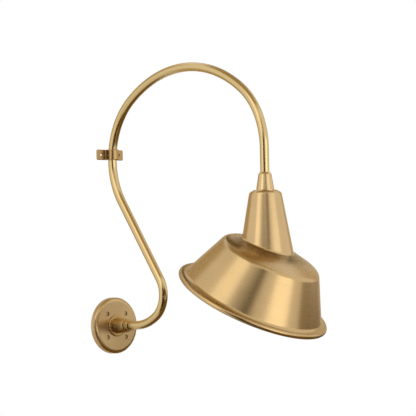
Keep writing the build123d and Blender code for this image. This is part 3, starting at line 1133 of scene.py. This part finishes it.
@dataclass
class Studio:
    """A pale floor, white surroundings, softboxes and felt cards that only gloss sees."""

    aim: tuple[float, float, float] = (0.0, -0.3, 0.25)
    floor_height: float = -4.0  # low enough to look up into the shade from above it
    floor_width: float = 24.0
    floor_paint: str = "f4f4f2"
    floor_white: float = 0.8
    ambient: float = 0.9
    # Name, bearing, elevation, distance, width, height, power.
    softboxes: tuple[Softbox, ...] = (
        # Lights the shade's left side, the neck and the ferrule.
        Softbox("left_softbox", -80.0, 27.0, 3.4, 1.8, 3.2, 11.0),
        # Draws the bright band on the shade's right side.
        Softbox("right_softbox", 5.0, 1.0, 3.4, 1.9, 1.9, 11.0),
    )
    # Name, place, the way it faces, width, height, felt, fade.
    cards: tuple[Card, ...] = (
        # Draws the dark band down the middle of the shade, and those in the neck and the tube.
        Card("camera_card", (-2.35, -2.05, -0.25), (0.8, 0.6, 0.0), 2.6, 3.4, "2f1f07", 0.5),
        # Carries the band on upwards, through the neck and the ferrule.
        Card(
            "upper_camera_card", (-1.45, -2.95, 1.85), (0.45, 0.85, -0.3), 1.2, 2.0, "6b5426", 0.5
        ),
        # Darkens the left of the tube, and the hub and canopy with it.
        Card("low_camera_card", (-1.0, -1.75, -1.0), (0.4, 0.5, 0.75), 3.0, 2.4, "4a3716", 0.5),
        # Stands for the ground: it darkens the tube's bend, the hub and the canopy from below.
        Card("under_card", (1.75, -1.6, -1.15), (0.0, 0.0, 1.0), 5.5, 6.0, "7a6030", 0.8),
        # Darkens the shade's right edge, the hub and the canopy.
        Card("low_right_card", (2.3, -0.9, -0.95), (-1.0, 0.1, 0.0), 4.2, 2.4, "7a6540", 0.5),
        # Keeps the shade's right side from going as white as the room.
        Card("right_card", (2.3, 0.4, 0.9), (-1.0, -0.25, -0.2), 3.0, 2.8, "dccdae", 0.7),
        # Draws the dark patch in the crown beside the neck.
        Card("behind_card", (0.95, 0.3, 1.2), (-0.6, -0.5, -0.62), 0.8, 0.9, "6b5426", 0.2),
        # Keeps the crown and the arch from going white on top.
        Card("ceiling_card", (0.0, -0.4, 2.3), (0.0, 0.0, -1.0), 3.2, 3.2, "c0aa80", 0.8),
        # Keeps the shade's left side and the arch from going white.
        Card("back_card", (1.0, 1.6, 0.4), (0.0, -1.0, 0.0), 5.0, 4.2, "d0bf9c", 0.8),
    )

    def build(self) -> None:
        """Sets the surroundings, the lamps, the cards and the floor."""
        bpy.context.scene.view_settings.view_transform = "Standard"
        self.build_world()
        for box in self.softboxes:
            box.build(Vector(self.aim))
        for card in self.cards:
            card.build()
        self.build_floor()

    def build_world(self) -> None:
        """Lights the object softly from all round, against white."""
        world = bpy.data.worlds.new("white_room")
        bpy.context.scene.world = world
        world.use_nodes = True
        tree = world.node_tree
        tree.nodes.clear()
        rays = add_node(tree, "LightPath").outputs
        shown: Any = rays["Is Camera Ray"]
        for ray in ("Is Glossy Ray", "Is Transmission Ray"):
            shown = add_node(tree, "Math", {0: shown, 1: rays[ray]}, operation="MAXIMUM")
        soft, white = (
            add_node(tree, "Background", {"Color": linear(WHITE), "Strength": strength})
            for strength in (self.ambient, 1.0)
        )
        mix = add_node(tree, "MixShader", {0: shown, 1: soft, 2: white})
        add_node(tree, "OutputWorld", {"Surface": mix})

    def build_floor(self) -> None:
        """Lays the pale floor."""
        # Matt white paint. The camera sees it mostly as bright as the world, so its far edge
        # hardly shows, and the rest of its shading keeps the shadow.
        material, tree = new_material("pale_floor")
        seen = add_node(tree, "LightPath").outputs["Is Camera Ray"]
        share = add_node(tree, "Math", {0: seen, 1: self.floor_white}, operation="MULTIPLY")
        paint = add_node(tree, "BsdfDiffuse", {"Color": linear(self.floor_paint)})
        white = add_node(tree, "Emission", {"Color": linear(WHITE), "Strength": 1.0})
        mix = add_node(tree, "MixShader", {0: share, 1: paint, 2: white})
        add_node(tree, "OutputMaterial", {"Surface": mix})
        floor = flat_sheet("floor", self.floor_width, self.floor_width, material)
        floor.data.transform(Matrix.Translation((0, 0, self.floor_height)))
        LOG.info("%s: laid", floor.name)


def main() -> None:
    """Builds the light from its sub-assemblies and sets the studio."""
    logging.basicConfig(level=logging.INFO, format="%(name)s: %(message)s")
    Camera().build()
    palette = Palette()
    wall_axis = LatheFrame((0, 0, 0), (math.radians(90), 0, 0))
    ferrule_low, ferrule_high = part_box("ferrule")
    neck_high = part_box("neck")[1]
    reach = -(ferrule_low.y + ferrule_high.y) / 2
    head = Head(palette, reach=reach / MM, neck_top=neck_high.z / MM)
    parts: tuple[SubAssembly, ...] = (
        WallPlate(palette, wall_axis),
        Hub(palette, wall_axis),
        Arm(palette),
        Swivel(palette, head.neck_frame),
        LampHolder(palette),
        head,
    )
    for part in parts:
        part.dress()
        part.build()
    Studio().build()


if __name__ == "__main__":
    main()
